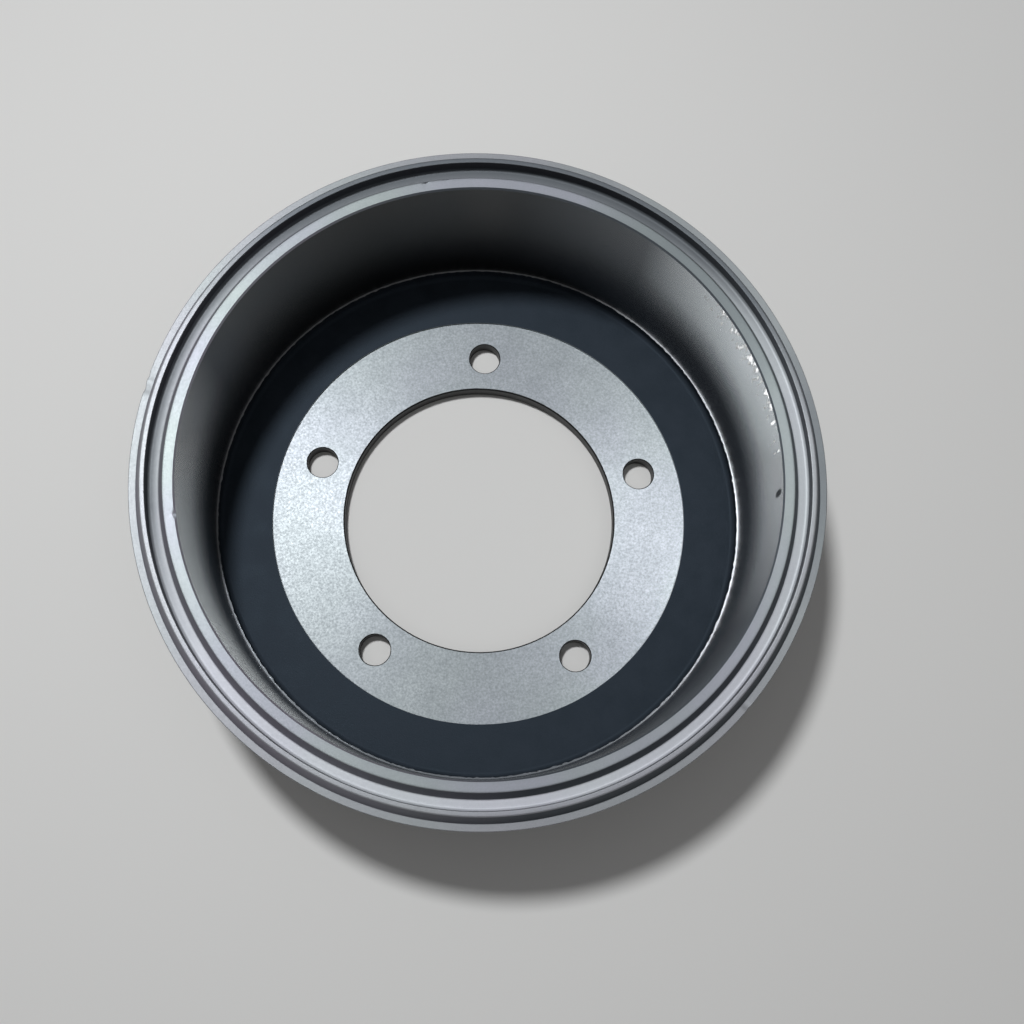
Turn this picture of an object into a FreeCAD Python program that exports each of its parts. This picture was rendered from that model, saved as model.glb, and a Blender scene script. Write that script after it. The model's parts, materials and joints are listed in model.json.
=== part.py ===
import FreeCAD, Part
import os

import Sketcher

# A one-piece cast iron brake drum, standing on its wheel face with its open end up.
# The origin is the centre of the wheel face, Z is the axle line, and lengths are in mm.

# Name, value and meaning of each size
SIZES = [
    ("overall_height", 119.0, "wheel face to the top of the rim land"),
    ("brake_diameter", 320.0, "turned surface that the shoes rub on"),
    ("brake_ledge_width", 1.4, "cast wall left standing inside the brake surface"),
    ("brake_ledge_height", 7.2, "cast web to the lower end of the brake surface"),
    ("mouth_chamfer", 0.9, "lead-in at the open end of the brake surface"),
    ("web_thickness", 10.0, "plate that closes the drum"),
    ("inner_corner_chamfer", 5.0, "cast corner between the web and the wall, inside"),
    ("seat_diameter", 255.0, "turned seat for the hub flange, inside"),
    ("seat_recess", 1.5, "depth of the hub seat below the cast web"),
    ("wheel_face_diameter", 264.0, "turned face for the wheel, outside"),
    ("wheel_face_rise", 1.5, "how far the wheel face stands out from the cast web"),
    ("bore_diameter", 167.0, "pilot bore for the hub"),
    ("bore_chamfer", 0.8, "broken edges of the pilot bore"),
    ("bolt_circle_diameter", 208.0, "circle of the wheel stud holes"),
    ("bolt_hole_diameter", 19.0, "wheel stud hole"),
    ("bolt_count", 5, "number of wheel stud holes"),
    ("bolt_hole_chamfer", 0.5, "broken edges of the stud holes"),
    ("closed_end_wall", 12.4, "cast wall where it meets the web"),
    ("open_end_wall", 13.5, "wall behind the brake surface, below the lip"),
    ("outer_corner_radius", 12.0, "cast corner between the web and the wall, outside"),
    ("land_width", 5.4, "flat top of the rim beside the mouth"),
    ("groove_depth", 7.0, "shield groove below the land"),
    ("groove_slope_width", 3.5, "sloped inner flank of the shield groove"),
    ("groove_floor_width", 5.7, "floor of the shield groove"),
    ("groove_root_chamfer", 1.2, "root of the upright flank of the groove"),
    ("ridge_width", 2.6, "flat top of the thin ridge outside the groove"),
    ("ridge_slope_width", 3.7, "sloped outer flank of the ridge"),
    ("lip_step_depth", 8.0, "flat lip below the top of the ridge"),
    ("lip_width", 4.2, "flat lip outside the ridge"),
    ("lip_thickness", 13.0, "flat of the lip down to the flare"),
    ("lip_edge_chamfer", 1.5, "lower edge of the lip"),
    ("flare_height", 8.0, "cast flare from the wall out to the lip"),
    ("edge_break", 0.5, "broken edges of the land, the ridge and the lip"),
]

# How far a cutting outline reaches past the casting
CUT_MARGIN = 5.0
# Largest mismatch when an edge is picked by its place
PICK_TOLERANCE = 0.001


class Formula:
    """A length that knows its value and the sheet formula it comes from."""

    def __init__(self, value, text):
        self.value = float(value)
        self.text = text

    def combine(self, sign, other):
        """Adds or takes away another length or a plain number."""
        if not isinstance(other, Formula):
            other = Formula(other, f"{other} mm")
        value = self.value + other.value if sign == "+" else self.value - other.value
        return Formula(value, f"{self.text} {sign} ({other.text})")

    def __add__(self, other):
        return self.combine("+", other)

    def __sub__(self, other):
        return self.combine("-", other)

    def half(self):
        """Gives the radius of a diameter."""
        return Formula(self.value / 2, f"({self.text}) / 2")

    def at_most(self, limit):
        """Keeps a radius within the wall that it rounds."""
        return Formula(min(self.value, limit.value), f"min({self.text}; {limit.text})")


def fill_sheet(doc):
    """Writes every size to the sheet, one row each, with its name as alias."""
    sheet = doc.addObject("Spreadsheet::Sheet", "sizes")
    for row, (alias, value, meaning) in enumerate(SIZES, start=1):
        sheet.set(f"A{row}", meaning)
        sheet.set(f"B{row}", str(value))
        sheet.setAlias(f"B{row}", alias)
    doc.recompute()
    return sheet


def size(sheet, alias):
    """Reads one length from the sheet."""
    return Formula(sheet.get(alias), f"{sheet.Name}.{alias} * 1 mm")


def origin_plane(body, role):
    """Finds one of the body's own origin planes."""
    return next(part for part in body.Origin.OriginFeatures if part.Role == role)


def new_sketch(body, name, role):
    """Adds a sketch that lies on one of the body's origin planes."""
    sketch = body.newObject("Sketcher::SketchObject", name)
    sketch.AttachmentSupport = [(origin_plane(body, role), "")]
    sketch.MapMode = "FlatFace"
    return sketch


def bind(sketch, constraint, formula):
    """Adds a dimension and ties it to the sheet."""
    index = sketch.addConstraint(constraint)
    sketch.setExpression(f"Constraints[{index}]", formula.text)


def draw_outline(sketch, corners):
    """Draws a closed outline of (radius, height) corners, each held by two dimensions."""
    points = [FreeCAD.Vector(radius.value, height.value, 0) for radius, height in corners]
    for start, end in zip(points, points[1:] + points[:1]):
        sketch.addGeometry(Part.LineSegment(start, end), False)
    for index in range(len(points)):
        following = (index + 1) % len(points)
        sketch.addConstraint(Sketcher.Constraint("Coincident", index, 2, following, 1))
    for index, (radius, height) in enumerate(corners):
        across = Sketcher.Constraint("DistanceX", -1, 1, index, 1, radius.value)
        bind(sketch, across, radius)
        if height.value == 0.0:
            sketch.addConstraint(Sketcher.Constraint("PointOnObject", index, 1, -1))
        else:
            upward = Sketcher.Constraint("DistanceY", -1, 1, index, 1, height.value)
            bind(sketch, upward, height)


def turn(body, kind, name, corners):
    """Turns an outline about the drum's axis, adding metal or cutting it away."""
    sketch = new_sketch(body, name + "Outline", "XZ_Plane")
    draw_outline(sketch, corners)
    before = body.Shape.Volume if body.Tip else 0.0
    feature = body.newObject(kind, name)
    feature.Profile = sketch
    feature.ReferenceAxis = (sketch, ["V_Axis"])
    feature.Angle = 360.0
    body.Document.recompute()
    if feature.Shape.Volume == before:
        raise RuntimeError(f"{name} changed nothing")
    return feature


def ring_edges(shape, rings):
    """Names the circular edges that lie at the given (radius, height) places."""
    names = []
    for number, edge in enumerate(shape.Edges, start=1):
        if not isinstance(edge.Curve, Part.Circle):
            continue
        centre = edge.Curve.Center
        if abs(centre.x) > PICK_TOLERANCE or abs(centre.y) > PICK_TOLERANCE:
            continue
        for radius, height in rings:
            same_radius = abs(edge.Curve.Radius - radius.value) < PICK_TOLERANCE
            if same_radius and abs(centre.z - height.value) < PICK_TOLERANCE:
                names.append(f"Edge{number}")
    if len(names) != len(rings):
        raise RuntimeError(f"{len(rings)} rings were asked for and {len(names)} were found")
    return names


def dress(body, kind, name, rings, formula):
    """Rounds or chamfers the edges at the given places by one size."""
    base = body.Tip
    feature = body.newObject(kind, name)
    feature.Base = (base, ring_edges(base.Shape, rings))
    quantity = "Radius" if kind == "PartDesign::Fillet" else "Size"
    feature.setExpression(quantity, formula.text)
    body.Document.recompute()
    return feature


def drill_bolt_holes(body, sheet):
    """Drills one stud hole through the web, breaks its edges and repeats it round the axis."""
    seat = size(sheet, "web_thickness")
    hole_radius = size(sheet, "bolt_hole_diameter").half()
    circle_radius = size(sheet, "bolt_circle_diameter").half()
    chamfer = size(sheet, "bolt_hole_chamfer")

    sketch = new_sketch(body, "StudHoleOutline", "YZ_Plane")
    zero = Formula(0.0, "0 mm")
    corners = [
        (circle_radius, zero),
        (circle_radius + hole_radius + chamfer, zero),
        (circle_radius + hole_radius, chamfer),
        (circle_radius + hole_radius, seat - chamfer),
        (circle_radius + hole_radius + chamfer, seat),
        (circle_radius, seat),
    ]
    draw_outline(sketch, corners)
    before = body.Shape.Volume
    hole = body.newObject("PartDesign::Groove", "StudHole")
    hole.Profile = sketch
    hole.ReferenceAxis = (sketch, ["Edge6"])
    hole.Angle = 360.0
    body.Document.recompute()
    if hole.Shape.Volume >= before:
        raise RuntimeError("the stud hole cuts nothing")

    pattern = body.newObject("PartDesign::PolarPattern", "StudHoles")
    pattern.Originals = [hole]
    pattern.Axis = (sketch, ["V_Axis"])
    pattern.Angle = 360.0
    pattern.setExpression("Occurrences", "sizes.bolt_count")
    body.Tip = pattern
    body.Document.recompute()
    return pattern


def build_drum(doc, sheet):
    """Casts the drum, turns its working faces, then drills it and breaks its edges."""
    body = doc.addObject("PartDesign::Body", "BrakeDrum")
    body.Label = "brake_drum"

    zero = Formula(0.0, "0 mm")
    top = size(sheet, "overall_height")
    bore = size(sheet, "bore_diameter").half()
    brake = size(sheet, "brake_diameter").half()
    cast_wall = brake - size(sheet, "brake_ledge_width")
    closed_end = cast_wall + size(sheet, "closed_end_wall")
    open_end = brake + size(sheet, "open_end_wall")
    wheel_face = size(sheet, "wheel_face_diameter").half()
    web_outside = size(sheet, "wheel_face_rise")
    seat_edge = size(sheet, "seat_diameter").half()
    seat = size(sheet, "web_thickness")
    web_inside = seat + size(sheet, "seat_recess")

    # The rim's radii, from the mouth outwards
    mouth = brake + size(sheet, "mouth_chamfer")
    land_edge = mouth + size(sheet, "land_width")
    groove_start = land_edge + size(sheet, "groove_slope_width")
    groove_end = groove_start + size(sheet, "groove_floor_width")
    ridge_edge = groove_end + size(sheet, "ridge_width")
    lip_start = ridge_edge + size(sheet, "ridge_slope_width")
    lip = lip_start + size(sheet, "lip_width")

    # The rim's heights, from the top down
    groove_floor = top - size(sheet, "groove_depth")
    lip_plane = top - size(sheet, "lip_step_depth")
    lip_under = lip_plane - size(sheet, "lip_thickness")
    flare_foot = lip_under - size(sheet, "flare_height")
    lip_edge = size(sheet, "lip_edge_chamfer")

    turn(body, "PartDesign::Revolution", "Casting", [
        (bore, zero),
        (wheel_face, zero),
        (wheel_face + web_outside, web_outside),
        (closed_end, web_outside),
        (open_end, flare_foot),
        (lip - lip_edge, lip_under),
        (lip, lip_under + lip_edge),
        (lip, top),
        (cast_wall, top),
        (cast_wall, web_inside),
        (bore, web_inside),
    ])
    corner = [(cast_wall, web_inside)]
    chamfer = size(sheet, "inner_corner_chamfer")
    dress(body, "PartDesign::Chamfer", "InnerCorner", corner, chamfer)
    edge_break = size(sheet, "edge_break")
    corner = [(closed_end, web_outside)]
    web_ring = closed_end - wheel_face - web_outside - edge_break
    radius = size(sheet, "outer_corner_radius").at_most(web_ring)
    dress(body, "PartDesign::Fillet", "OuterCorner", corner, radius)

    # The brake surface leaves a narrow ledge of the cast wall at its lower end
    ledge = web_inside + size(sheet, "brake_ledge_height")
    turn(body, "PartDesign::Groove", "BrakeSurface", [
        (cast_wall - CUT_MARGIN, ledge),
        (brake, ledge),
        (brake, top + CUT_MARGIN),
        (cast_wall - CUT_MARGIN, top + CUT_MARGIN),
    ])

    # The hub seat is turned into the web
    turn(body, "PartDesign::Groove", "HubSeat", [
        (bore - CUT_MARGIN, seat),
        (seat_edge, seat),
        (seat_edge, web_inside + CUT_MARGIN),
        (bore - CUT_MARGIN, web_inside + CUT_MARGIN),
    ])

    # The rim steps outwards: land, shield groove, thin ridge, flat lip
    turn(body, "PartDesign::Groove", "ShieldGroove", [
        (groove_start, groove_floor),
        (groove_end, groove_floor),
        (groove_end, top),
        (land_edge, top),
    ])
    turn(body, "PartDesign::Groove", "LipStep", [
        (lip_start, lip_plane),
        (lip + CUT_MARGIN, lip_plane),
        (lip + CUT_MARGIN, top),
        (ridge_edge, top),
    ])
    root = [(groove_end, groove_floor)]
    chamfer = size(sheet, "groove_root_chamfer")
    dress(body, "PartDesign::Chamfer", "GrooveRoot", root, chamfer)

    mouth_edge = [(brake, top)]
    chamfer = size(sheet, "mouth_chamfer")
    dress(body, "PartDesign::Chamfer", "MouthChamfer", mouth_edge, chamfer)
    bore_edges = [(bore, zero), (bore, seat)]
    chamfer = size(sheet, "bore_chamfer")
    dress(body, "PartDesign::Chamfer", "BoreChamfers", bore_edges, chamfer)
    rim_edges = [(land_edge, top), (groove_end, top), (ridge_edge, top), (lip, lip_plane)]
    dress(body, "PartDesign::Chamfer", "EdgeBreaks", rim_edges, edge_break)

    drill_bolt_holes(body, sheet)
    return body


def check(doc, body):
    """Stops when a feature failed or the body is not one valid solid."""
    for item in doc.Objects:
        if "Invalid" in item.State or "Error" in item.State:
            raise RuntimeError(f"{item.Name} failed: {item.State}")
    if body.Shape.isNull() or not body.Shape.isValid():
        raise RuntimeError("the drum's shape is not valid")
    if len(body.Shape.Solids) != 1:
        raise RuntimeError("the drum is not one solid")


def main():
    """Builds the drum and writes its STEP file."""
    doc = FreeCAD.newDocument("BrakeDrum")
    sheet = fill_sheet(doc)
    body = build_drum(doc, sheet)
    body.Placement = FreeCAD.Placement()
    doc.recompute()
    check(doc, body)
    os.makedirs("parts", exist_ok=True)
    body.Shape.exportStep(f"parts/{body.Label}.step")
    box = body.Shape.optimalBoundingBox(True)
    litres = body.Shape.Volume / 1e6
    print(f"{body.Label}: {box.XLength:.2f} x {box.YLength:.2f} x {box.ZLength:.2f} mm, {litres:.4f} l")


main()
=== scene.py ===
"""The looks of a one-piece cast iron brake drum that stands on its wheel face, open end up.

The drum is turned as one closed shell round its axle line, drilled, nicked where the real one
is, and dressed zone by zone: cast skin, brake surface, turned rim, hub seat, ledge and holes.
"""

import json
import logging
import math
from collections.abc import Callable, Iterable
from dataclasses import dataclass
from enum import Enum

import bmesh
import bpy
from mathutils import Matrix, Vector, noise


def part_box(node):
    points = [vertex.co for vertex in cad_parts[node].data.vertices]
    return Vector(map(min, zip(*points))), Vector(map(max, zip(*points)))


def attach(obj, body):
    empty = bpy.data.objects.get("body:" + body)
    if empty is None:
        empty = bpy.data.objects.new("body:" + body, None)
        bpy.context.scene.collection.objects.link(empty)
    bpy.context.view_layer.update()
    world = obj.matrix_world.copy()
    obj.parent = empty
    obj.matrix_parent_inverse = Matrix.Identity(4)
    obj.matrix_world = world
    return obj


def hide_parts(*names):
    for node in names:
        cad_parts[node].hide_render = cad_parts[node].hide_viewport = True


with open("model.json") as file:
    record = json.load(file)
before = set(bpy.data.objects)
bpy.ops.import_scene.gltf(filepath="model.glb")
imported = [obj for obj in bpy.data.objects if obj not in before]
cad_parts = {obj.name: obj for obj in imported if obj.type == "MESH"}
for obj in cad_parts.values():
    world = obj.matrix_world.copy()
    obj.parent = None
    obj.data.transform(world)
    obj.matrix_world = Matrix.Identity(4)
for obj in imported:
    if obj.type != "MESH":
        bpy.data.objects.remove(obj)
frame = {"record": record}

LOG = logging.getLogger("brake_drum")
MM = 0.001
QUARTER_TURN = 0.25
AXIS = Vector((0.0, 0.0, 1.0))
ORIGIN = Vector((0.0, 0.0, 0.0))

Colour = tuple[float, float, float]
Source = bpy.types.NodeSocket | float | tuple[float, ...]


class Zone(Enum):
    """The surfaces of the drum that differ in finish, in the order of their material slots."""

    CAST_SKIN = 0
    WEB_SKIN = 1
    BRAKE_SURFACE = 2
    LAND = 3
    GROOVE = 4
    # the flank differs from the ridge only by painted shade
    FLANK = 5
    SLOPES = 6
    RIDGE = 7
    LIP = 8
    HUB_SEAT = 9
    LEDGE = 10
    HOLES = 11


@dataclass(frozen=True)
class Corner:
    """A corner of the drum's outline.

    ease is how far its rounding reaches along both sides, and steps how many facets it has.
    """

    radius: float
    height: float
    ease: float = 0.0
    steps: int = 1


@dataclass(frozen=True)
class DrumSizes:
    """The drum's sizes in metres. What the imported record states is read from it."""

    lip_radius: float
    height: float
    bore_radius: float
    brake_radius: float
    stud_circle_radius: float
    stud_hole_radius: float
    stud_count: int
    seat_height: float
    seat_radius: float = 127.5 * MM
    seat_recess: float = 1.5 * MM
    wheel_face_radius: float = 132.0 * MM
    wheel_face_rise: float = 1.5 * MM
    bore_chamfer: float = 0.8 * MM
    hole_chamfer: float = 0.5 * MM
    ledge_width: float = 0.9 * MM
    ledge_rise: float = 7.2 * MM
    closed_end_wall: float = 12.4 * MM
    open_end_wall: float = 13.5 * MM
    mouth_chamfer: float = 0.9 * MM
    land_width: float = 5.4 * MM
    groove_slope: float = 3.5 * MM
    groove_floor: float = 5.7 * MM
    groove_depth: float = 7.0 * MM
    ridge_width: float = 2.6 * MM
    ridge_slope: float = 3.7 * MM
    lip_depth: float = 8.0 * MM
    lip_thickness: float = 13.0 * MM
    lip_edge: float = 1.5 * MM
    flare_height: float = 8.0 * MM
    nick_reach: float = 1.1 * MM

    @classmethod
    def from_frame(cls) -> "DrumSizes":
        """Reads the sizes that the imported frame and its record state."""
        low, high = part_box("brake_drum")
        mounts = {mount["name"]: mount for mount in frame["record"]["mounts"]}
        studs = mounts["wheel_studs"]["dims"]
        return cls(
            lip_radius=(high.x - low.x) / 2,
            height=high.z,
            bore_radius=mounts["hub_bore"]["dims"]["r_mm"] * MM,
            brake_radius=mounts["brake_surface"]["dims"]["r_mm"] * MM,
            stud_circle_radius=studs["pcd_mm"] / 2 * MM,
            stud_hole_radius=studs["hole_r_mm"] * MM,
            stud_count=studs["count"],
            seat_height=mounts["hub_seat"]["pos_m"][2],
        )

    @property
    def web_height(self) -> float:
        """Height of the cast web inside."""
        return self.seat_height + self.seat_recess

    @property
    def ledge_height(self) -> float:
        """Height of the lower end of the brake surface."""
        return self.web_height + self.ledge_rise

    @property
    def cast_radius(self) -> float:
        """Radius of the cast wall below the brake surface."""
        return self.brake_radius - self.ledge_width

    @property
    def land_start(self) -> float:
        """Inner radius of the rim's land."""
        return self.brake_radius + self.mouth_chamfer

    @property
    def land_end(self) -> float:
        """Outer radius of the rim's land."""
        return self.land_start + self.land_width

    @property
    def floor_start(self) -> float:
        """Inner radius of the groove's floor."""
        return self.land_end + self.groove_slope

    @property
    def floor_end(self) -> float:
        """Radius of the groove's upright flank."""
        return self.floor_start + self.groove_floor

    @property
    def ridge_end(self) -> float:
        """Outer radius of the ridge's top."""
        return self.floor_end + self.ridge_width

    @property
    def lip_start(self) -> float:
        """Inner radius of the flat lip."""
        return self.ridge_end + self.ridge_slope

    @property
    def lip_height(self) -> float:
        """Height of the flat lip."""
        return self.height - self.lip_depth

    @property
    def lip_under(self) -> float:
        """Height at which the lip's outer edge ends."""
        return self.lip_height - self.lip_thickness


@dataclass(frozen=True)
class Nick:
    """A small dent or chip in one of the drum's edges.

    radius and height name the edge, reach how far round it in the section the metal moves,
    and bearing the place round the axle in degrees, from +X towards +Y. width is along the
    edge. push is how far the metal is driven outwards, inwards if negative, and sink down.
    """

    radius: float
    height: float
    reach: float
    bearing: float
    width: float
    push: float
    sink: float


class Wiring:
    """Adds nodes to one node tree and joins them."""

    def __init__(self, tree: bpy.types.NodeTree) -> None:
        """Keeps the tree's lists.

        Args:
            tree: The material's or group's node tree.
        """
        self.nodes = tree.nodes
        self.links = tree.links

    def feed(self, socket: bpy.types.NodeSocket, source: Source) -> None:
        """Joins a socket to another, or sets its value.

        Args:
            socket: The input to feed.
            source: An output socket, or a plain value.
        """
        if isinstance(source, bpy.types.NodeSocket):
            self.links.new(source, socket)
        else:
            socket.default_value = source

    def node(
        self, kind: str, inputs: dict[str | int, Source] | None = None, **options: object
    ) -> bpy.types.Node:
        """Adds a node.

        Args:
            kind: The node's type, without the word ShaderNode.
            inputs: What feeds each input, by name or number.
            **options: The node's own settings.

        Returns:
            The new node.
        """
        made = self.nodes.new("ShaderNode" + kind)
        for name, value in options.items():
            setattr(made, name, value)
        for key, source in (inputs or {}).items():
            self.feed(made.inputs[key], source)
        return made

    def math(self, operation: str, *values: Source) -> bpy.types.NodeSocket:
        """Adds a Math node and gives its result.

        Args:
            operation: The node's operation.
            *values: Its inputs in order.

        Returns:
            The result's socket.
        """
        made = self.node("Math", dict(enumerate(values)), operation=operation)
        return made.outputs[0]

    def blend(self, share: Source, first: Source, second: Source, mode: str = "MIX") -> bpy.types.NodeSocket:
        """Mixes two colours.

        Args:
            share: How much of the second shows.
            first: The colour at 0.
            second: The colour at 1.
            mode: The mixing mode.

        Returns:
            The mixed colour's socket.
        """
        made = self.nodes.new("ShaderNodeMix")
        made.data_type = "RGBA"
        made.blend_type = mode
        self.feed(made.inputs["Factor"], share)
        for socket, source in zip((made.inputs[6], made.inputs[7]), (first, second)):
            self.feed(socket, (*source, 1.0) if isinstance(source, tuple) else source)
        return made.outputs[2]

    def spread(
        self, value: Source, low: float, high: float, to_low: float, to_high: float
    ) -> bpy.types.NodeSocket:
        """Maps a value from one range to another and keeps it there.

        Args:
            value: What is mapped.
            low: The start of its range.
            high: The end of its range.
            to_low: What the start becomes.
            to_high: What the end becomes.

        Returns:
            The mapped value's socket.
        """
        inputs = {0: value, 1: low, 2: high, 3: to_low, 4: to_high}
        return self.node("MapRange", inputs, clamp=True).outputs[0]


class EffectGroup:
    """A node group that several finishes share, made on first use."""

    made: dict[str, bpy.types.NodeTree] = {}

    def __init__(self, name: str, inputs: dict[str, str], outputs: Iterable[str]) -> None:
        """Opens the group.

        Args:
            name: The group's name.
            inputs: Each input's name and socket type.
            outputs: The names of its value outputs.
        """
        self.tree = bpy.data.node_groups.new(name, "ShaderNodeTree")
        for socket, kind in inputs.items():
            self.tree.interface.new_socket(socket, in_out="INPUT", socket_type=kind)
        for socket in outputs:
            self.tree.interface.new_socket(socket, in_out="OUTPUT", socket_type="NodeSocketFloat")
        self.wiring = Wiring(self.tree)
        self.start = self.tree.nodes.new("NodeGroupInput")
        self.end = self.tree.nodes.new("NodeGroupOutput")
        EffectGroup.made[name] = self.tree

    def given(self, name: str) -> bpy.types.NodeSocket:
        """Gives one of the group's inputs."""
        return self.start.outputs[name]

    def put(self, name: str, source: Source) -> None:
        """Feeds one of the group's outputs."""
        self.wiring.feed(self.end.inputs[name], source)


def tool_marks() -> bpy.types.NodeTree:
    """Makes the group of fine rings that a lathe tool leaves, even and uneven ones.

    Returns:
        The group's tree, with outputs Height and Shade.
    """
    if "Tool marks" in EffectGroup.made:
        return EffectGroup.made["Tool marks"]
    fine_rings, broad_rings = 0.6, 0.08
    even_share, broad_share = 0.18, 0.6
    group = EffectGroup(
        "Tool marks",
        {"Place": "NodeSocketVector", "Pitch": "NodeSocketFloat"},
        ("Height", "Shade"),
    )
    wiring = group.wiring
    flat = wiring.node("VectorMath", {0: group.given("Place"), 1: (1.0, 1.0, 0.0)}, operation="MULTIPLY")
    radius = wiring.node("VectorMath", {0: flat.outputs[0]}, operation="LENGTH").outputs["Value"]
    parts = wiring.node("SeparateXYZ", {0: group.given("Place")})
    run = wiring.math("ADD", radius, parts.outputs["Z"])
    turns = wiring.math("MULTIPLY", run, group.given("Pitch"))
    even = wiring.math("SINE", wiring.math("MULTIPLY", turns, 2 * math.pi))
    uneven = wiring.node("TexNoise", {"W": turns, "Scale": fine_rings, "Detail": 3.0}, noise_dimensions="1D")
    broad = wiring.node("TexNoise", {"W": turns, "Scale": broad_rings, "Detail": 2.0}, noise_dimensions="1D")
    ripple = wiring.math("MULTIPLY_ADD", even, even_share, uneven.outputs["Fac"])
    group.put("Height", ripple)
    fine = wiring.math("MULTIPLY", ripple, 1.0 - broad_share)
    group.put("Shade", wiring.math("MULTIPLY_ADD", broad.outputs["Fac"], broad_share, fine))
    return group.tree


def iron_grain() -> bpy.types.NodeTree:
    """Makes the group of the grey iron's open grain: small pale and dark specks.

    Returns:
        The group's tree, with outputs Grain, Flecks, Clouds and Drift.
    """
    if "Iron grain" in EffectGroup.made:
        return EffectGroup.made["Iron grain"]
    fleck_scale, cloud_scale = 0.7, 0.06
    drift_scale = 14.0
    group = EffectGroup(
        "Iron grain",
        {"Place": "NodeSocketVector", "Size": "NodeSocketFloat"},
        ("Grain", "Flecks", "Clouds", "Drift"),
    )
    wiring = group.wiring
    scale = wiring.math("DIVIDE", 1.0, group.given("Size"))
    place = group.given("Place")
    grain = wiring.node("TexNoise", {"Vector": place, "Scale": scale, "Detail": 3.0, "Roughness": 0.65})
    group.put("Grain", wiring.spread(grain.outputs["Fac"], 0.3, 0.7, 0.0, 1.0))
    fleck_size = wiring.math("MULTIPLY", scale, fleck_scale)
    cells = wiring.node("TexVoronoi", {"Vector": place, "Scale": fleck_size})
    group.put("Flecks", wiring.spread(cells.outputs["Distance"], 0.08, 0.3, 1.0, 0.0))
    cloud_size = wiring.math("MULTIPLY", scale, cloud_scale)
    clouds = wiring.node("TexNoise", {"Vector": place, "Scale": cloud_size, "Detail": 4.0})
    group.put("Clouds", wiring.spread(clouds.outputs["Fac"], 0.35, 0.65, 0.0, 1.0))
    drift = wiring.node("TexNoise", {"Vector": place, "Scale": drift_scale, "Detail": 1.0})
    group.put("Drift", wiring.spread(drift.outputs["Fac"], 0.38, 0.62, 0.0, 1.0))
    return group.tree


def side_mask() -> bpy.types.NodeTree:
    """Makes the group that masks one side of the drum, round a bearing.

    Edge and Core are the cosines of the angles from it at which the mask starts and is full.

    Returns:
        The group's tree, with the output Mask.
    """
    if "Side mask" in EffectGroup.made:
        return EffectGroup.made["Side mask"]
    numbers = dict.fromkeys(("Bearing", "Edge", "Core"), "NodeSocketFloat")
    group = EffectGroup("Side mask", {"Place": "NodeSocketVector", **numbers}, ("Mask",))
    wiring = group.wiring
    parts = wiring.node("SeparateXYZ", {0: group.given("Place")}).outputs
    angle = wiring.math("ARCTAN2", parts["Y"], parts["X"])
    towards = wiring.math("COSINE", wiring.math("SUBTRACT", angle, group.given("Bearing")))
    group.put("Mask", wiring.spread(towards, group.given("Edge"), group.given("Core"), 0.0, 1.0))
    return group.tree


@dataclass(frozen=True)
class Side:
    """One side of the drum, in degrees: its middle bearing, half width and soft edge's width."""

    bearing: float
    half: float
    soft: float

    def mask(self, wiring: Wiring, place: bpy.types.NodeSocket) -> bpy.types.NodeSocket:
        """Masks the side in a material.

        Args:
            wiring: The material's wiring.
            place: Where on the drum the point lies.

        Returns:
            The mask's socket.
        """
        group = wiring.node("Group", node_tree=side_mask())
        wiring.feed(group.inputs["Place"], place)
        wiring.feed(group.inputs["Bearing"], math.radians(self.bearing))
        wiring.feed(group.inputs["Edge"], math.cos(math.radians(self.half)))
        wiring.feed(group.inputs["Core"], math.cos(math.radians(self.half - self.soft)))
        return group.outputs["Mask"]


@dataclass(frozen=True)
class SideShade:
    """Painted shade: a dark colour laid over the side of a turned face that looks darker in the light.

    It grows from none at the radius start to its whole share at the radius end.
    """

    side: Side
    share: float
    start: float = 0.0
    end: float = 1.0 * MM
    # the colour of the painted shade
    colour: Colour = (0.07, 0.08, 0.09)

    def add(
        self, wiring: Wiring, place: bpy.types.NodeSocket, colour: bpy.types.NodeSocket
    ) -> bpy.types.NodeSocket:
        """Lays the painted shade over a colour.

        Args:
            wiring: The material's wiring.
            place: Where on the drum the point lies.
            colour: The colour without the painted shade.

        Returns:
            The colour with it.
        """
        flat = wiring.node("VectorMath", {0: place, 1: (1.0, 1.0, 0.0)}, operation="MULTIPLY").outputs[0]
        radius = wiring.node("VectorMath", {0: flat}, operation="LENGTH").outputs["Value"]
        outward = wiring.spread(radius, self.start, self.end, 0.0, self.share)
        share = wiring.math("MULTIPLY", self.side.mask(wiring, place), outward)
        return wiring.blend(share, colour, self.colour)


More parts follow.
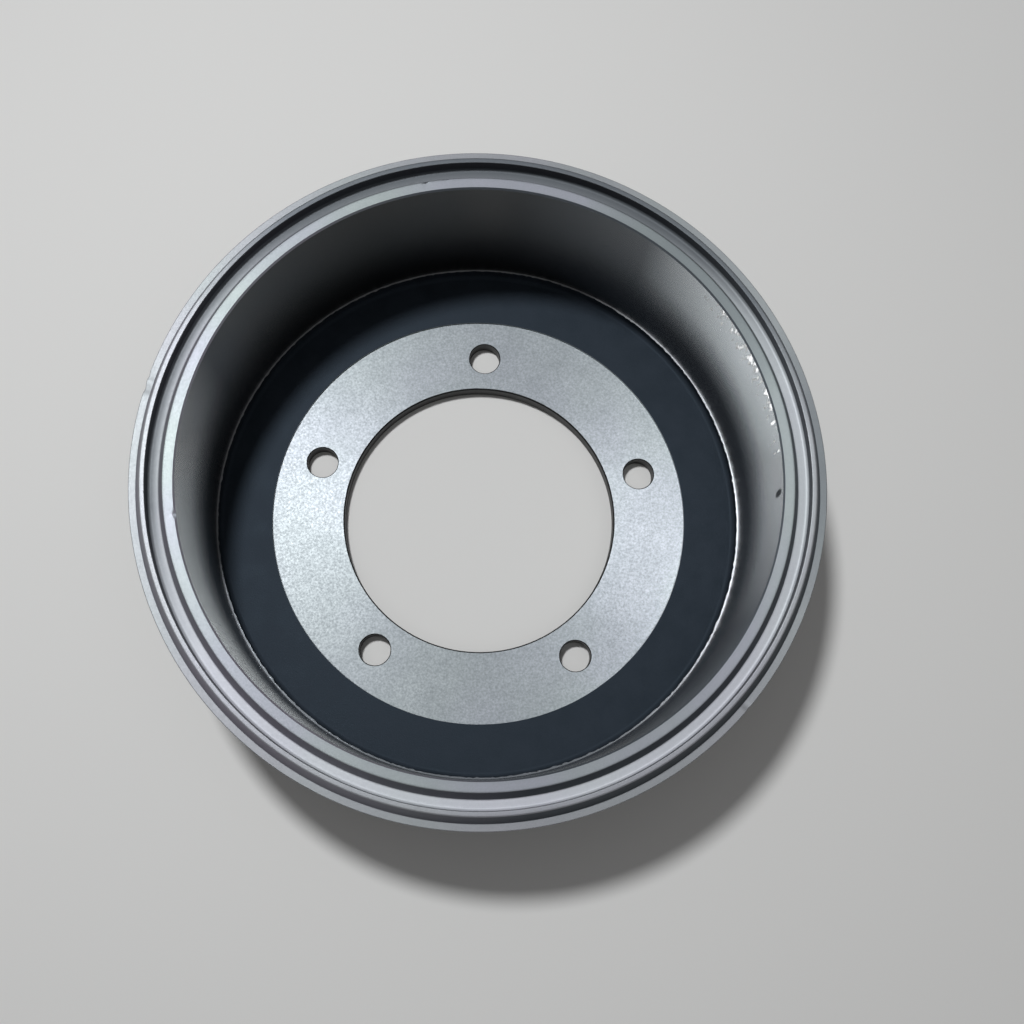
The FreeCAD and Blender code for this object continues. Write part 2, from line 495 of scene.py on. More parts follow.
@dataclass(frozen=True)
class WearAndHighlight:
    """Bright chips and one pit below the mouth of the brake surface, and a painted highlight on two sides.

    A painted highlight lies on the wall's upper part on two sides, full down to the first depth of
    highlight_drop and gone by the second. The chips are worn spots whose bright colour is partly a painted
    glint; they lie on the side chipped, down to chip_drop. chip_scale is how fine they are, chip_edge how
    sharply they end and chip_growth how much more of them the mouth has. stretch is how much the marks
    shrink their heights, so that they run down. The pit is drawn in colour only, and its dark is painted
    shade.
    """

    radius: float
    top: float
    # painted highlight on the wall's upper part, on two sides
    painted_highlight: Colour = (0.92, 0.91, 0.89)
    highlight_sides: tuple[Side, Side] = (Side(15.0, 42.0, 30.0), Side(204.0, 46.0, 34.0))
    highlight_drop: tuple[float, float] = (36.0 * MM, 76.0 * MM)
    # bright colour of the chips: worn metal, partly a painted glint
    bright: Colour = (0.50, 0.50, 0.50)
    # the pit's dark colour: painted shade of a hollow that the mesh lacks
    dark: Colour = (0.02, 0.02, 0.02)
    chipped: Side = Side(23.0, 20.0, 14.0)
    chip_drop: float = 20.0 * MM
    chip_scale: float = 330.0
    chip_growth: float = 0.18
    chip_edge: tuple[float, float] = (0.66, 0.75)
    stretch: float = 0.35
    pit_bearing: float = 358.8
    pit_sink: float = 10.0 * MM
    pit_size: float = 2.5 * MM
    pit_core: float = 1.5 * MM

    def add(
        self, wiring: Wiring, place: bpy.types.NodeSocket, colour: bpy.types.NodeSocket
    ) -> tuple[bpy.types.NodeSocket, bpy.types.NodeSocket]:
        """Lays the wear, the painted highlight and the pit's painted shade over a colour.

        Args:
            wiring: The material's wiring.
            place: Where on the drum the point lies.
            colour: The colour without them.

        Returns:
            The colour with them, and the mask of the chips.
        """
        below = wiring.math("SUBTRACT", self.top, wiring.node("SeparateXYZ", {0: place}).outputs["Z"])
        # painted highlight: the wall's upper part is lightened on two sides
        sides = wiring.math("ADD", *(side.mask(wiring, place) for side in self.highlight_sides))
        upper = wiring.spread(below, *self.highlight_drop, 1.0, 0.0)
        # smooth holds the colour with the painted highlight
        smooth = wiring.blend(wiring.math("MULTIPLY", sides, upper), colour, self.painted_highlight)

        # chips: worn spots whose bright colour is partly a painted glint
        run_down = (1.0, 1.0, self.stretch)
        drawn = wiring.node("VectorMath", {0: place, 1: run_down}, operation="MULTIPLY").outputs[0]
        spots = wiring.node(
            "TexNoise", {"Vector": drawn, "Scale": self.chip_scale, "Detail": 3.0, "Roughness": 0.6}
        )
        near = wiring.spread(below, 0.0, self.chip_drop, 1.0, 0.0)
        window = wiring.math("MULTIPLY", self.chipped.mask(wiring, place), near)
        level = wiring.math("MULTIPLY_ADD", window, self.chip_growth, spots.outputs["Fac"])
        inside = wiring.spread(window, 0.0, 0.1, 0.0, 1.0)
        chips = wiring.math("MULTIPLY", wiring.spread(level, *self.chip_edge, 0.0, 1.0), inside)
        chipped = wiring.blend(chips, smooth, self.bright)

        # the pit is drawn in colour only: its dark is painted shade
        turn = math.radians(self.pit_bearing)
        height = (self.top - self.pit_sink) * self.stretch
        pit = Vector((self.radius * math.cos(turn), self.radius * math.sin(turn), height))
        gap = wiring.node("VectorMath", {0: drawn, 1: pit}, operation="DISTANCE").outputs["Value"]
        hollow = wiring.spread(gap, self.pit_core, self.pit_size, 1.0, 0.0)
        return wiring.blend(hollow, chipped, self.dark), chips


@dataclass(frozen=True)
class TurnedIron:
    """Bare grey iron as the lathe left it.

    warm and cool are the hues that it drifts between, shade the darker tone between its
    marks, shine its roughness, unevenness how far that differs from spot to spot, and
    brushing how much the highlight is drawn out across the tool marks. metal is how much
    of it shines as clean metal, the rest being its grey graphite bloom, chip_lift how far
    the chips' faces turn up and chip_rough how much rougher they are.
    """

    name: str
    warm: Colour
    cool: Colour
    shade: Colour
    shine: float = 0.49
    brushing: float = 0.72
    unevenness: float = 0.03
    pitch: float = 2200.0
    mark_depth: float = 0.006 * MM
    grain_size: float = 0.9 * MM
    grain_share: float = 0.3
    cloud_share: float = 0.2
    ring_share: float = 0.6
    metal: float = 0.95
    chip_lift: float = 2.0
    chip_rough: float = 0.25
    wear_and_highlight: WearAndHighlight | None = None
    # painted shade laid over chosen sides of the face
    side_shades: tuple[SideShade, ...] = ()

    def build(self) -> bpy.types.Material:
        """Makes the material.

        Returns:
            The new material.
        """
        material = bpy.data.materials.new(self.name)
        material.use_nodes = True
        wiring = Wiring(material.node_tree)
        surface = wiring.nodes["Principled BSDF"]
        place = wiring.node("TexCoord").outputs["Object"]
        marks = wiring.node("Group", node_tree=tool_marks())
        wiring.feed(marks.inputs["Place"], place)
        wiring.feed(marks.inputs["Pitch"], self.pitch)
        grain = wiring.node("Group", node_tree=iron_grain())
        wiring.feed(grain.inputs["Place"], place)
        wiring.feed(grain.inputs["Size"], self.grain_size)

        drifted = wiring.blend(grain.outputs["Drift"], self.warm, self.cool)
        rings = wiring.math("MULTIPLY", marks.outputs["Shade"], self.ring_share)
        ringed = wiring.blend(rings, drifted, self.shade)
        speckle = wiring.math("MULTIPLY", grain.outputs["Grain"], self.grain_share)
        speckled = wiring.blend(speckle, ringed, self.shade)
        cloud = wiring.math("MULTIPLY", grain.outputs["Clouds"], self.cloud_share)
        colour = wiring.blend(cloud, speckled, self.shade)
        chips = None
        # wear on the brake surface, with a painted highlight, painted glints and a painted pit shade
        if self.wear_and_highlight is not None:
            colour, chips = self.wear_and_highlight.add(wiring, place, colour)
        # lays the painted shade of each chosen side
        for side_shade in self.side_shades:
            colour = side_shade.add(wiring, place, colour)
        wiring.feed(surface.inputs["Base Color"], colour)

        wiring.feed(surface.inputs["Metallic"], self.metal)
        low, high = self.shine - self.unevenness, self.shine + self.unevenness
        rough = wiring.spread(grain.outputs["Grain"], 0.0, 1.0, low, high)
        wiring.feed(surface.inputs["Roughness"], rough)
        surface.inputs["Anisotropic"].default_value = self.brushing
        surface.inputs["Anisotropic Rotation"].default_value = QUARTER_TURN
        tangent = wiring.node("Tangent", direction_type="RADIAL", axis="Z")
        wiring.feed(surface.inputs["Tangent"], tangent.outputs["Tangent"])
        pores = wiring.math("MULTIPLY", grain.outputs["Grain"], self.grain_share)
        relief = wiring.math("ADD", pores, marks.outputs["Height"])
        bump = wiring.node("Bump", {"Height": relief, "Distance": self.mark_depth, "Strength": 1.0})
        normal = bump.outputs["Normal"]
        if chips is not None:
            lift = wiring.node("CombineXYZ", {"Z": wiring.math("MULTIPLY", chips, self.chip_lift)})
            raised = wiring.node("VectorMath", {0: normal, 1: lift.outputs[0]}, operation="ADD")
            normal = wiring.node("VectorMath", {0: raised.outputs[0]}, operation="NORMALIZE").outputs[0]
            rougher = wiring.math("MULTIPLY_ADD", chips, self.chip_rough, rough)
            wiring.feed(surface.inputs["Roughness"], rougher)
        wiring.feed(surface.inputs["Normal"], normal)
        return material


@dataclass(frozen=True)
class CastSkin:
    """Cast iron skin under a thin dark coat of primer.

    worn is the colour of its rubbed clouds and shine its roughness. sand_size and sand_depth
    are the grain that the mould left, sheen_level and tint its sheen.
    """

    name: str
    colour: Colour
    worn: Colour
    shine: float
    sand_size: float
    sand_depth: float
    sheen_level: float
    tint: Colour
    pit_share: float = 0.35
    smoother: float = 0.05
    rougher: float = 0.07

    def build(self) -> bpy.types.Material:
        """Makes the material.

        Returns:
            The new material.
        """
        material = bpy.data.materials.new(self.name)
        material.use_nodes = True
        wiring = Wiring(material.node_tree)
        surface = wiring.nodes["Principled BSDF"]
        place = wiring.node("TexCoord").outputs["Object"]
        grain = wiring.node("Group", node_tree=iron_grain())
        wiring.feed(grain.inputs["Place"], place)
        wiring.feed(grain.inputs["Size"], self.sand_size)
        cloudy = wiring.blend(grain.outputs["Clouds"], self.colour, self.worn)
        pits = wiring.math("MULTIPLY", grain.outputs["Flecks"], self.pit_share)
        wiring.feed(surface.inputs["Base Color"], wiring.blend(pits, cloudy, self.colour))
        low, high = self.shine - self.smoother, self.shine + self.rougher
        wiring.feed(surface.inputs["Roughness"], wiring.spread(grain.outputs["Clouds"], 0.0, 1.0, low, high))
        surface.inputs["Specular IOR Level"].default_value = self.sheen_level
        surface.inputs["Specular Tint"].default_value = (*self.tint, 1.0)
        sand = {"Height": grain.outputs["Grain"], "Distance": self.sand_depth, "Strength": 1.0}
        bump = wiring.node("Bump", sand)
        wiring.feed(surface.inputs["Normal"], bump.outputs["Normal"])
        return material


@dataclass(frozen=True)
class DrumFinishes:
    """The finish of each zone of the drum.

    groove_shade gives the radii between which the painted shade in the groove thickens.
    """

    wear_and_highlight: WearAndHighlight
    groove_shade: tuple[float, float]

    def turned(self) -> dict[Zone, TurnedIron]:
        """Lists the finishes of the bare iron.

        Returns:
            The finishes by zone.
        """
        return {
            Zone.BRAKE_SURFACE: TurnedIron(
                "brake_surface", (0.18, 0.18, 0.18), (0.17, 0.18, 0.19), (0.14, 0.14, 0.15), shine=0.26,
                brushing=0.75, unevenness=0.006, pitch=2600.0, mark_depth=0.001 * MM, grain_size=2.2 * MM,
                grain_share=0.12, metal=1.0, wear_and_highlight=self.wear_and_highlight,
                # painted shade darkening the brake surface on the side round bearing 100°
                side_shades=(SideShade(Side(100.0, 50.0, 35.0), 0.75, colour=(0.04, 0.04, 0.037)),),
            ),
            Zone.LAND: TurnedIron(
                "turned_land", (0.26, 0.29, 0.28), (0.26, 0.26, 0.30), (0.18, 0.20, 0.21),
                # painted shade on the land's side round bearing 44°
                side_shades=(SideShade(Side(44.0, 28.0, 22.0), 0.5),),
            ),
            Zone.GROOVE: TurnedIron(
                "groove_floor", (0.55, 0.58, 0.59), (0.55, 0.55, 0.60), (0.40, 0.42, 0.45), shine=0.55,
                brushing=0.4, metal=0.35,
                # painted shade on the groove floor: thickest next to the flank, and over its upper side
                side_shades=(
                    SideShade(Side(118.0, 98.0, 28.0), 0.85, *self.groove_shade),
                    SideShade(Side(92.0, 60.0, 26.0), 0.8),
                ),
            ),
            # painted shade: the flank's iron is much darker than the ridge's, for the shade it stands in
            Zone.FLANK: TurnedIron(
                "shaded_ridge_flank", (0.10, 0.11, 0.12), (0.10, 0.10, 0.11), (0.06, 0.06, 0.07)
            ),
            Zone.SLOPES: TurnedIron(
                "rim_slopes", (0.22, 0.22, 0.24), (0.22, 0.20, 0.24), (0.15, 0.15, 0.17),
                # painted shade over the slopes on every side but the left
                side_shades=(SideShade(Side(10.0, 125.0, 35.0), 0.95),),
            ),
            Zone.RIDGE: TurnedIron(
                "turned_ridge", (0.29, 0.30, 0.31), (0.28, 0.28, 0.31), (0.20, 0.21, 0.22),
                # painted shade on the ridge's upper side, round bearing 82°
                side_shades=(SideShade(Side(82.0, 74.0, 28.0), 0.82),),
            ),
            Zone.LIP: TurnedIron(
                "turned_lip", (0.26, 0.28, 0.28), (0.27, 0.27, 0.29), (0.18, 0.19, 0.20),
                # painted shade on the lip's right side, round bearing 4°
                side_shades=(SideShade(Side(4.0, 26.0, 26.0), 0.5),),
            ),
            Zone.HUB_SEAT: TurnedIron(
                "hub_seat", (0.36, 0.39, 0.40), (0.36, 0.38, 0.41), (0.17, 0.19, 0.20), shine=0.50,
                brushing=0.82, pitch=1400.0, mark_depth=0.004 * MM, grain_size=1.3 * MM, grain_share=0.7,
                cloud_share=0.2, ring_share=0.12,
            ),
            Zone.LEDGE: TurnedIron(
                "bare_ledge", (0.40, 0.41, 0.42), (0.40, 0.40, 0.42), (0.20, 0.21, 0.22), shine=0.44,
                # painted shade on the ledge's lower side, round bearing -108°, so that its right side alone
                # stays bright
                brushing=0.85, side_shades=(SideShade(Side(-108.0, 85.0, 40.0), 0.75),),
            ),
            Zone.HOLES: TurnedIron(
                "drilled_iron", (0.05, 0.05, 0.05), (0.05, 0.05, 0.05), (0.03, 0.03, 0.03), shine=0.45,
                brushing=0.2,
            ),
        }

    def cast(self) -> dict[Zone, CastSkin]:
        """Lists the finishes of the cast iron skin.

        Returns:
            The finishes by zone.
        """
        return {
            Zone.CAST_SKIN: CastSkin(
                "cast_skin", (0.045, 0.049, 0.056), (0.065, 0.068, 0.073), shine=0.55, sand_size=1.2 * MM,
                sand_depth=0.25 * MM, sheen_level=0.35, tint=(1.0, 1.0, 1.0),
            ),
            Zone.WEB_SKIN: CastSkin(
                "web_skin", (0.022, 0.029, 0.038), (0.028, 0.036, 0.047), shine=0.52, sand_size=0.9 * MM,
                sand_depth=0.05 * MM, sheen_level=0.12, tint=(0.62, 0.80, 1.0),
            ),
        }

    def build(self) -> dict[Zone, bpy.types.Material]:
        """Makes the material of each zone.

        Returns:
            The materials by zone.
        """
        return {zone: finish.build() for zone, finish in {**self.turned(), **self.cast()}.items()}


@dataclass
class BrakeDrum:
    """The casting with its turned faces, drilled holes, burrs and nicks.

    turns is the number of facets round it and drill_sides that round a stud hole. Edges
    sharper than crease degrees stay sharp. slack is how near a face counts as on a size.
    burr_depth and burr_scale shape the ragged ledge. The painted shade in the groove starts shade_before the
    groove's floor and is thickest from shade_short of the floor's end.
    """

    sizes: DrumSizes
    turns: int = 720
    drill_sides: int = 64
    crease: float = 32.0
    slack: float = 0.05 * MM
    burr_depth: float = 0.5 * MM
    burr_scale: float = 420.0
    shade_before: float = 1.5 * MM
    shade_short: float = 2.2 * MM

    def nicks(self) -> list[Nick]:
        """Lists the dents and chips in the rim."""
        s = self.sizes
        land = (s.land_start, s.height, 0.8 * MM)
        land_edge = (s.land_end, s.height, 1.0 * MM)
        lip = (s.lip_radius, s.lip_height, 1.0 * MM)
        return [
            Nick(*land, bearing=190.4, width=1.8 * MM, push=1.0 * MM, sink=0.5 * MM),
            Nick(*land_edge, bearing=102.5, width=1.6 * MM, push=-0.5 * MM, sink=0.3 * MM),
            Nick(*land_edge, bearing=98.7, width=1.5 * MM, push=-0.2 * MM, sink=0.1 * MM),
            Nick(*lip, bearing=167.2, width=3.2 * MM, push=-0.6 * MM, sink=0.5 * MM),
            Nick(*lip, bearing=164.9, width=2.4 * MM, push=-0.4 * MM, sink=0.3 * MM),
            Nick(*lip, bearing=320.0, width=1.6 * MM, push=-0.3 * MM, sink=0.3 * MM),
        ]

    def outline(self) -> list[Corner]:
        """Lists the corners of the drum's section, from the bore outwards and round the rim.

        Returns:
            The corners in order.
        """
        s = self.sizes
        top = s.height
        floor = top - s.groove_depth
        web_out = s.wheel_face_rise
        break_ease = 0.35 * MM
        return [
            Corner(s.bore_radius, s.bore_chamfer, 0.2 * MM, 2),
            Corner(s.bore_radius + s.bore_chamfer, 0.0, 0.2 * MM, 2),
            Corner(s.wheel_face_radius, 0.0, 0.3 * MM, 2),
            Corner(s.wheel_face_radius + web_out, web_out, 1.0 * MM, 3),
            Corner(s.cast_radius + s.closed_end_wall, web_out, 12.0 * MM, 10),
            Corner(s.brake_radius + s.open_end_wall, s.lip_under - s.flare_height, 6.0 * MM, 6),
            Corner(s.lip_radius - s.lip_edge, s.lip_under, 0.9 * MM, 3),
            Corner(s.lip_radius, s.lip_under + s.lip_edge, 0.6 * MM, 3),
            Corner(s.lip_radius, s.lip_height, 0.5 * MM, 3),
            Corner(s.lip_start, s.lip_height, 0.4 * MM, 3),
            Corner(s.ridge_end, top, 0.6 * MM, 3),
            Corner(s.floor_end, top, break_ease, 3),
            Corner(s.floor_end, floor, 1.8 * MM, 6),
            Corner(s.floor_start, floor, 0.6 * MM, 3),
            Corner(s.land_end, top, 0.5 * MM, 3),
            Corner(s.land_end - s.nick_reach, top),
            Corner(s.land_start + s.nick_reach, top),
            Corner(s.land_start, top),
            Corner(s.brake_radius, top - s.mouth_chamfer),
            Corner(s.brake_radius, s.ledge_height),
            Corner(s.cast_radius, s.ledge_height),
            Corner(s.cast_radius, s.web_height, 3.0 * MM, 6),
            Corner(s.seat_radius, s.web_height, 0.25 * MM, 2),
            Corner(s.seat_radius, s.seat_height, 0.5 * MM, 2),
            Corner(s.bore_radius + s.bore_chamfer, s.seat_height, 0.2 * MM, 2),
            Corner(s.bore_radius, s.seat_height - s.bore_chamfer, 0.2 * MM, 2),
        ]

    def turn_shell(self) -> bmesh.types.BMesh:
        """Rounds the outline's corners and turns it about the axle into a closed shell.

        Returns:
            The shell's mesh.
        """
        shell = bmesh.new()
        corners = self.outline()
        ring = [shell.verts.new((corner.radius, 0.0, corner.height)) for corner in corners]
        for start, end in zip(ring, ring[1:] + ring[:1]):
            shell.edges.new((start, end))
        for vertex, corner in zip(ring, corners):
            if corner.ease:
                bmesh.ops.bevel(
                    shell, geom=[vertex], offset=corner.ease, offset_type="OFFSET", affect="VERTICES",
                    segments=corner.steps, profile=0.5, material=-1,
                )
        bmesh.ops.spin(
            shell, geom=shell.verts[:] + shell.edges[:], cent=ORIGIN, axis=AXIS, dvec=ORIGIN,
            angle=2 * math.pi, steps=self.turns, use_merge=True,
        )
        bmesh.ops.recalc_face_normals(shell, faces=shell.faces[:])
        return shell

    def ring(
        self, shell: bmesh.types.BMesh, radius: float, height: float, reach: float
    ) -> list[bmesh.types.BMVert]:
        """Finds the vertices that lie on or near one edge of the drum.

        Args:
            shell: The drum's mesh.
            radius: The edge's radius.
            height: The edge's height.
            reach: How far a vertex may lie from it in the section.

        Returns:
            The vertices found.
        """
        found = []
        for vertex in shell.verts:
            across = math.hypot(vertex.co.x, vertex.co.y) - radius
            if math.hypot(across, vertex.co.z - height) < reach:
                found.append(vertex)
        return found

    def strike(self, shell: bmesh.types.BMesh, nick: Nick) -> None:
        """Dents one edge of the drum.

        Args:
            shell: The drum's mesh.
            nick: Where and how deep.
        """
        for vertex in self.ring(shell, nick.radius, nick.height, nick.reach):
            bearing = math.degrees(math.atan2(vertex.co.y, vertex.co.x))
            turned = (bearing - nick.bearing + 180.0) % 360.0 - 180.0
            out = Vector((vertex.co.x, vertex.co.y, 0.0))
            along = math.radians(turned) * out.length
            share = 1.0 - abs(along) / nick.width
            if share > 0.0:
                vertex.co += out.normalized() * nick.push * share
                vertex.co.z -= nick.sink * share

    def wear(self, shell: bmesh.types.BMesh) -> None:
        """Leaves the ragged ledge below the brake surface, and the nicks in the rim.

        Args:
            shell: The drum's mesh.
        """
        s = self.sizes
        for vertex in self.ring(shell, s.cast_radius, s.ledge_height, self.slack):
            rough = noise.fractal(vertex.co * self.burr_scale, 0.8, 2.0, 4)
            out = Vector((vertex.co.x, vertex.co.y, 0.0)).normalized()
            vertex.co += out * self.burr_depth * rough
        for nick in self.nicks():
            self.strike(shell, nick)

    def stud_places(self) -> list[Vector]:
        """Gives the centres of the stud holes, the first on +Y."""
        s = self.sizes
        step = 2 * math.pi / s.stud_count
        first = math.pi / 2
        radius = s.stud_circle_radius
        bearings = [first + step * number for number in range(s.stud_count)]
        return [Vector((radius * math.cos(b), radius * math.sin(b), 0.0)) for b in bearings]

    def drill(self, piece: bpy.types.Object) -> None:
        """Cuts the stud holes through the web.

        Args:
            piece: The drum.
        """
        s = self.sizes
        drills = bmesh.new()
        for place in self.stud_places():
            bit = bmesh.ops.create_cone(
                drills, cap_ends=True, segments=self.drill_sides, radius1=s.stud_hole_radius,
                radius2=s.stud_hole_radius, depth=4 * s.seat_height,
            )
            bmesh.ops.translate(drills, verts=bit["verts"], vec=place)
        cutter = new_object("stud_drills", drills)
        cut = piece.modifiers.new("stud_holes", "BOOLEAN")
        cut.operation = "DIFFERENCE"
        cut.solver = "EXACT"
        cut.object = cutter
        apply_modifiers(piece)
        bpy.data.objects.remove(cutter)

    def break_hole_edges(self, shell: bmesh.types.BMesh) -> None:
        """Chamfers both mouths of each stud hole.

        Args:
            shell: The drum's mesh.
        """
        s = self.sizes
        mouths = [
            edge
            for edge in shell.edges
            if all(self.in_hole(vertex.co, self.slack) for vertex in edge.verts)
            and abs(edge.verts[0].co.z - edge.verts[1].co.z) < 0.01 * MM
        ]
        bmesh.ops.bevel(
            shell, geom=mouths, offset=s.hole_chamfer, offset_type="OFFSET", affect="EDGES",
            segments=1, profile=0.5, material=-1,
        )

    def in_hole(self, point: Vector, slack: float) -> bool:
        """Tells whether a point lies on or inside a stud hole's wall.

        Args:
            point: The point.
            slack: How far outside the wall still counts.

        Returns:
            True if it does.
        """
        reach = self.sizes.stud_hole_radius + slack
        return any(math.hypot(point.x - p.x, point.y - p.y) < reach for p in self.stud_places())

    def zone_of(self, face: bmesh.types.BMFace) -> Zone:
        """Names the zone that a face belongs to.

        Args:
            face: A face of the drum.

        Returns:
            Its zone.
        """
        s, slack = self.sizes, self.slack
        centre = face.calc_center_median()
        radius = math.hypot(centre.x, centre.y)
        height = centre.z
        if radius < s.seat_radius + slack and height < s.web_height - slack:
            cut = self.in_hole(centre, s.hole_chamfer) or radius < s.bore_radius + s.bore_chamfer
            return Zone.HOLES if cut and abs(face.normal.z) < 0.9 else Zone.HUB_SEAT
        if height < s.wheel_face_rise / 2 and radius < s.wheel_face_radius + s.wheel_face_rise:
            return Zone.HUB_SEAT
        if radius < s.brake_radius + slack and height > s.wheel_face_rise + slack:
            if height < s.ledge_height - slack:
                return Zone.WEB_SKIN
            return Zone.LEDGE if height < s.ledge_height + slack else Zone.BRAKE_SURFACE
        if height > s.lip_under + s.lip_edge:
            return self.rim_zone(radius, height, face.normal.z)
        return Zone.CAST_SKIN

    def rim_zone(self, radius: float, height: float, rise: float) -> Zone:
        """Names the zone of a face of the turned rim.

        Args:
            radius: Where the face lies.
            height: How high it lies.
            rise: How far it faces up, from 0 to 1.

        Returns:
            Its zone.
        """
        s = self.sizes
        ridge_round = 0.6 * MM
        flat_rise = 0.85
        if radius > s.lip_radius - s.lip_edge:
            return Zone.LIP
        if s.floor_end - self.slack < radius < s.ridge_end + ridge_round / 2:
            return Zone.RIDGE if height > s.height - ridge_round else Zone.FLANK
        if rise < flat_rise and not s.floor_start < radius < s.floor_end:
            return Zone.SLOPES
        if radius < s.land_end + s.groove_slope / 2:
            return Zone.LAND
        return Zone.GROOVE if radius < s.floor_end else Zone.LIP

    def dress(self, piece: bpy.types.Object) -> None:
        """Gives each face its zone's finish and shades the shell by its edges.

        Args:
            piece: The drum.
        """
        s = self.sizes
        shade_span = (s.floor_start - self.shade_before, s.floor_end - self.shade_short)
        materials = DrumFinishes(WearAndHighlight(s.brake_radius, s.height), shade_span).build()
        for zone in Zone:
            piece.data.materials.append(materials[zone])
        shell = bmesh.new()
        shell.from_mesh(piece.data)
        self.break_hole_edges(shell)
        wide = [face for face in shell.faces if len(face.verts) > 4]
        bmesh.ops.triangulate(shell, faces=wide)
        bmesh.ops.recalc_face_normals(shell, faces=shell.faces[:])
        for face in shell.faces:
            face.smooth = True
            face.material_index = self.zone_of(face).value
        for edge in shell.edges:
            edge.smooth = edge.calc_face_angle(0.0) < math.radians(self.crease)
        shell.to_mesh(piece.data)
        shell.free()
        even = piece.modifiers.new("even_shading", "WEIGHTED_NORMAL")
        even.mode = "FACE_AREA"
        even.keep_sharp = True
        apply_modifiers(piece)

    def build(self) -> bpy.types.Object:
        """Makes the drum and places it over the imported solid.

        Returns:
            The drum's object.
        """
        shell = self.turn_shell()
        self.wear(shell)
        piece = new_object("drum_casting", shell)
        self.drill(piece)
        self.dress(piece)
        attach(piece, "root")
        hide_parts("brake_drum")
        return piece


def new_object(name: str, mesh: bmesh.types.BMesh) -> bpy.types.Object:
    """Makes an object of a bmesh and frees it.

    Args:
        name: The object's name.
        mesh: Its shape.

    Returns:
        The object, at the origin.
    """
    data = bpy.data.meshes.new(name)
    mesh.to_mesh(data)
    mesh.free()
    made = bpy.data.objects.new(name, data)
    bpy.context.scene.collection.objects.link(made)
    return made


def apply_modifiers(piece: bpy.types.Object) -> None:
    """Makes an object's modifiers part of its mesh.

    Args:
        piece: The object.
    """
    graph = bpy.context.evaluated_depsgraph_get()
    applied = bpy.data.meshes.new_from_object(piece.evaluated_get(graph))
    piece.modifiers.clear()
    piece.data = applied


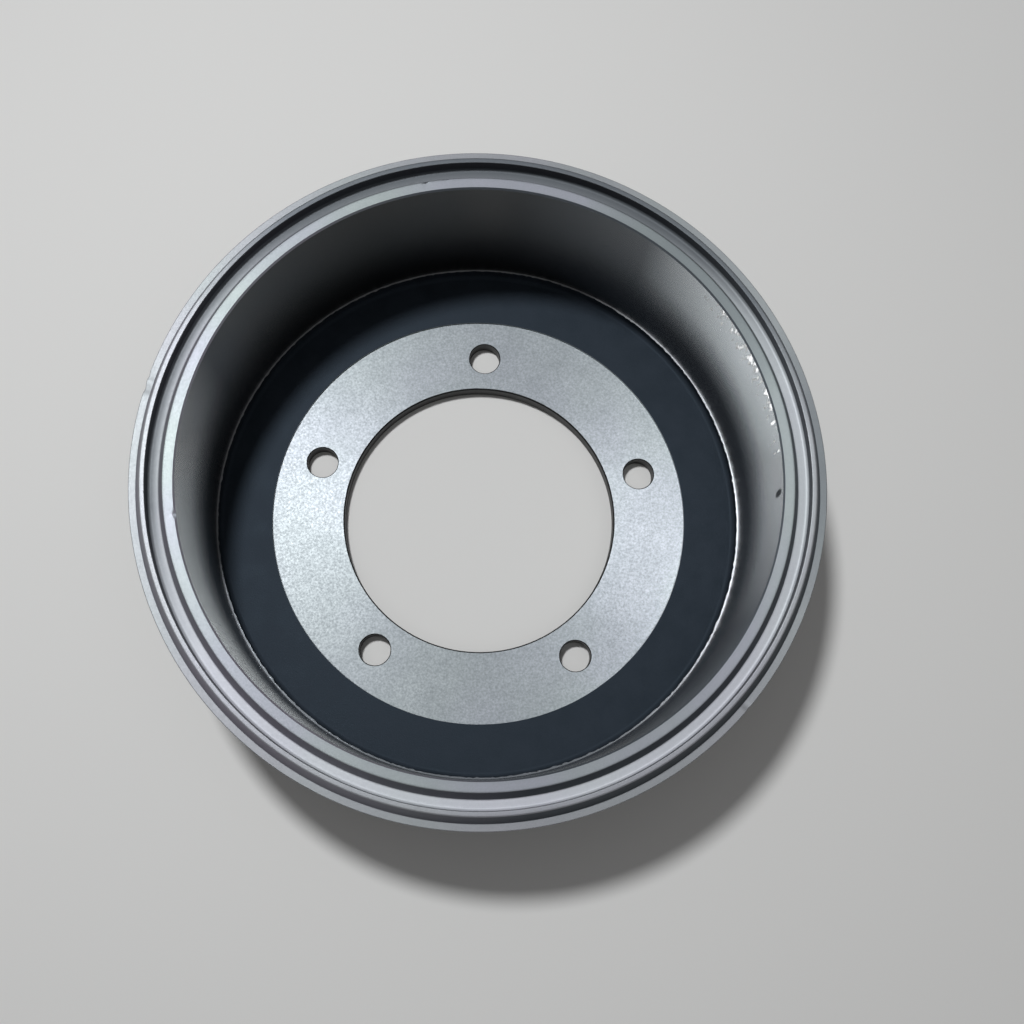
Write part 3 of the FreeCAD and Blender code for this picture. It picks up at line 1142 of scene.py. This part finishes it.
@dataclass
class Studio:
    """A pale floor and backdrop, one soft lamp above and to the left, and the photograph's camera.

    Lamp angles are in degrees and the camera's turn in radians. The bright ceiling faces
    along ceiling_way, and its rim lies between the two cosines of ceiling_edge.
    """

    floor_half: float = 6.0
    floor_colour: Colour = (0.74, 0.73, 0.71)
    floor_rough: float = 0.85
    floor_sheen: float = 0.2
    lamp_colour: Colour = (0.96, 0.98, 1.0)
    lamp_bearing: float = 129.5
    lamp_tilt: float = 18.5
    lamp_distance: float = 1.4
    lamp_side: float = 0.16
    lamp_power: float = 14.0
    ceiling_way: tuple[float, float, float] = (0.05, -0.12, 0.992)
    ceiling_edge: tuple[float, float] = (0.79, 0.89)
    ceiling_level: float = 0.32
    wall_level: float = 0.09
    horizon_level: float = 0.30
    horizon_band: tuple[float, float] = (0.18, 0.62)
    room_tint: Colour = (0.98, 0.985, 1.0)
    backdrop_level: float = 0.58
    backdrop_start: float = 0.45
    backdrop_end: float = 1.15
    camera_place: tuple[float, float, float] = (-3.588 * MM, -156.616 * MM, 686.459 * MM)
    camera_turn: tuple[float, float, float] = (0.16301611, -0.04108651, 0.02631227)
    sensor: float = 36.0
    focal_pixels: float = 1113.88
    frame_pixels: float = 1024.0
    axis_row: float = 590.0
    sight: float = 50.0

    def lay_floor(self) -> None:
        """Lays the pale floor that the drum stands on."""
        mesh = bmesh.new()
        bmesh.ops.create_grid(mesh, x_segments=1, y_segments=1, size=self.floor_half)
        floor = new_object("studio_floor", mesh)
        material = bpy.data.materials.new("studio_floor")
        material.use_nodes = True
        surface = material.node_tree.nodes["Principled BSDF"]
        surface.inputs["Base Color"].default_value = (*self.floor_colour, 1.0)
        surface.inputs["Roughness"].default_value = self.floor_rough
        surface.inputs["Specular IOR Level"].default_value = self.floor_sheen
        self.fade_floor(Wiring(material.node_tree))
        floor.data.materials.append(material)

    def fade_floor(self, wiring: Wiring) -> None:
        """Lets the far floor pass into the plain backdrop for the rays that show it.

        Args:
            wiring: The floor material's wiring.
        """
        place = wiring.node("TexCoord").outputs["Object"]
        away = wiring.node("VectorMath", {0: place}, operation="LENGTH").outputs["Value"]
        far = wiring.spread(away, self.backdrop_start, self.backdrop_end, 0.0, 1.0)
        share = wiring.math("MULTIPLY", far, self.seen(wiring))
        plain = wiring.node("Emission", {"Color": (*self.room_tint, 1.0), "Strength": self.backdrop_level})
        lit = wiring.nodes["Principled BSDF"].outputs[0]
        mixed = wiring.node("MixShader", {0: share, 1: lit, 2: plain.outputs[0]})
        wiring.feed(wiring.nodes["Material Output"].inputs["Surface"], mixed.outputs[0])

    def seen(self, wiring: Wiring) -> bpy.types.NodeSocket:
        """Tells in a material or world whether a ray shows the background.

        Args:
            wiring: The material's or world's wiring.

        Returns:
            A socket that is 1 for camera, glossy and transmission rays.
        """
        path = wiring.node("LightPath").outputs
        direct = wiring.math("MAXIMUM", path["Is Camera Ray"], path["Is Transmission Ray"])
        return wiring.math("MAXIMUM", direct, path["Is Glossy Ray"])

    def hang_lamp(self, aim: Vector) -> None:
        """Hangs the lamp and turns it to the drum.

        Args:
            aim: The point that it faces.
        """
        bearing, tilt = math.radians(self.lamp_bearing), math.radians(self.lamp_tilt)
        aside = math.sin(tilt)
        away = Vector((math.cos(bearing) * aside, math.sin(bearing) * aside, math.cos(tilt)))
        light = bpy.data.lights.new("studio_lamp", "AREA")
        light.shape = "DISK"
        light.size = self.lamp_side
        light.energy = self.lamp_power
        light.color = self.lamp_colour
        lamp = bpy.data.objects.new("studio_lamp", light)
        lamp.location = aim + away * self.lamp_distance
        lamp.rotation_euler = away.to_track_quat("Z", "Y").to_euler()
        bpy.context.scene.collection.objects.link(lamp)

    def light_room(self) -> None:
        """Makes the room's own soft light: a pale foot, dim walls and a bright ceiling."""
        world = bpy.data.worlds.new("studio_room")
        world.use_nodes = True
        wiring = Wiring(world.node_tree)
        direction = wiring.node("TexCoord").outputs["Generated"]
        parts = wiring.node("SeparateXYZ", {0: direction})
        facing = wiring.node("VectorMath", {0: direction, 1: self.ceiling_way}, operation="DOT_PRODUCT")
        upright = facing.outputs["Value"]
        ceiling = wiring.spread(upright, *self.ceiling_edge, self.wall_level, self.ceiling_level)
        foot = wiring.spread(parts.outputs["Z"], *self.horizon_band, self.horizon_level, self.wall_level)
        room = wiring.math("MAXIMUM", ceiling, foot)
        low = wiring.spread(parts.outputs["Z"], *self.horizon_band, 1.0, 0.0)
        direct = wiring.node("LightPath").outputs["Is Camera Ray"]
        mirrored = wiring.math("MULTIPLY", self.seen(wiring), low)
        shown = wiring.math("MAXIMUM", direct, mirrored)
        plain = wiring.math("MULTIPLY", shown, self.backdrop_level)
        strength = wiring.math("MAXIMUM", room, plain)
        background = wiring.nodes["Background"]
        background.inputs["Color"].default_value = (*self.room_tint, 1.0)
        wiring.feed(background.inputs["Strength"], strength)
        bpy.context.scene.world = world

    def place_camera(self) -> None:
        """Sets the camera at the photograph's angle and framing."""
        lens = bpy.data.cameras.new("photo_camera")
        lens.sensor_width = self.sensor
        lens.lens = self.sensor * self.focal_pixels / self.frame_pixels
        lens.shift_y = (self.axis_row - self.frame_pixels / 2) / self.frame_pixels
        lens.clip_end = self.sight
        camera = bpy.data.objects.new("photo_camera", lens)
        camera.location = self.camera_place
        camera.rotation_euler = self.camera_turn
        bpy.context.scene.collection.objects.link(camera)
        bpy.context.scene.camera = camera

    def build(self, aim: Vector) -> None:
        """Builds the whole studio.

        Args:
            aim: The drum's centre.
        """
        self.lay_floor()
        self.hang_lamp(aim)
        self.light_room()
        self.place_camera()
        bpy.context.scene.view_settings.view_transform = "Standard"


def main() -> None:
    """Builds the drum and its studio, and logs the faces of each."""
    logging.basicConfig(level=logging.INFO, format="%(message)s")
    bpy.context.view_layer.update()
    drum = BrakeDrum(DrumSizes.from_frame())
    steps: list[tuple[str, Callable[[], object]]] = [
        ("drum", drum.build),
        ("studio", lambda: Studio().build(Vector((0.0, 0.0, drum.sizes.height / 2)))),
    ]
    for name, build in steps:
        made = build()
        count = len(made.data.polygons) if isinstance(made, bpy.types.Object) else 0
        LOG.info("%s: %d faces", name, count)


if __name__ == "__main__":
    main()
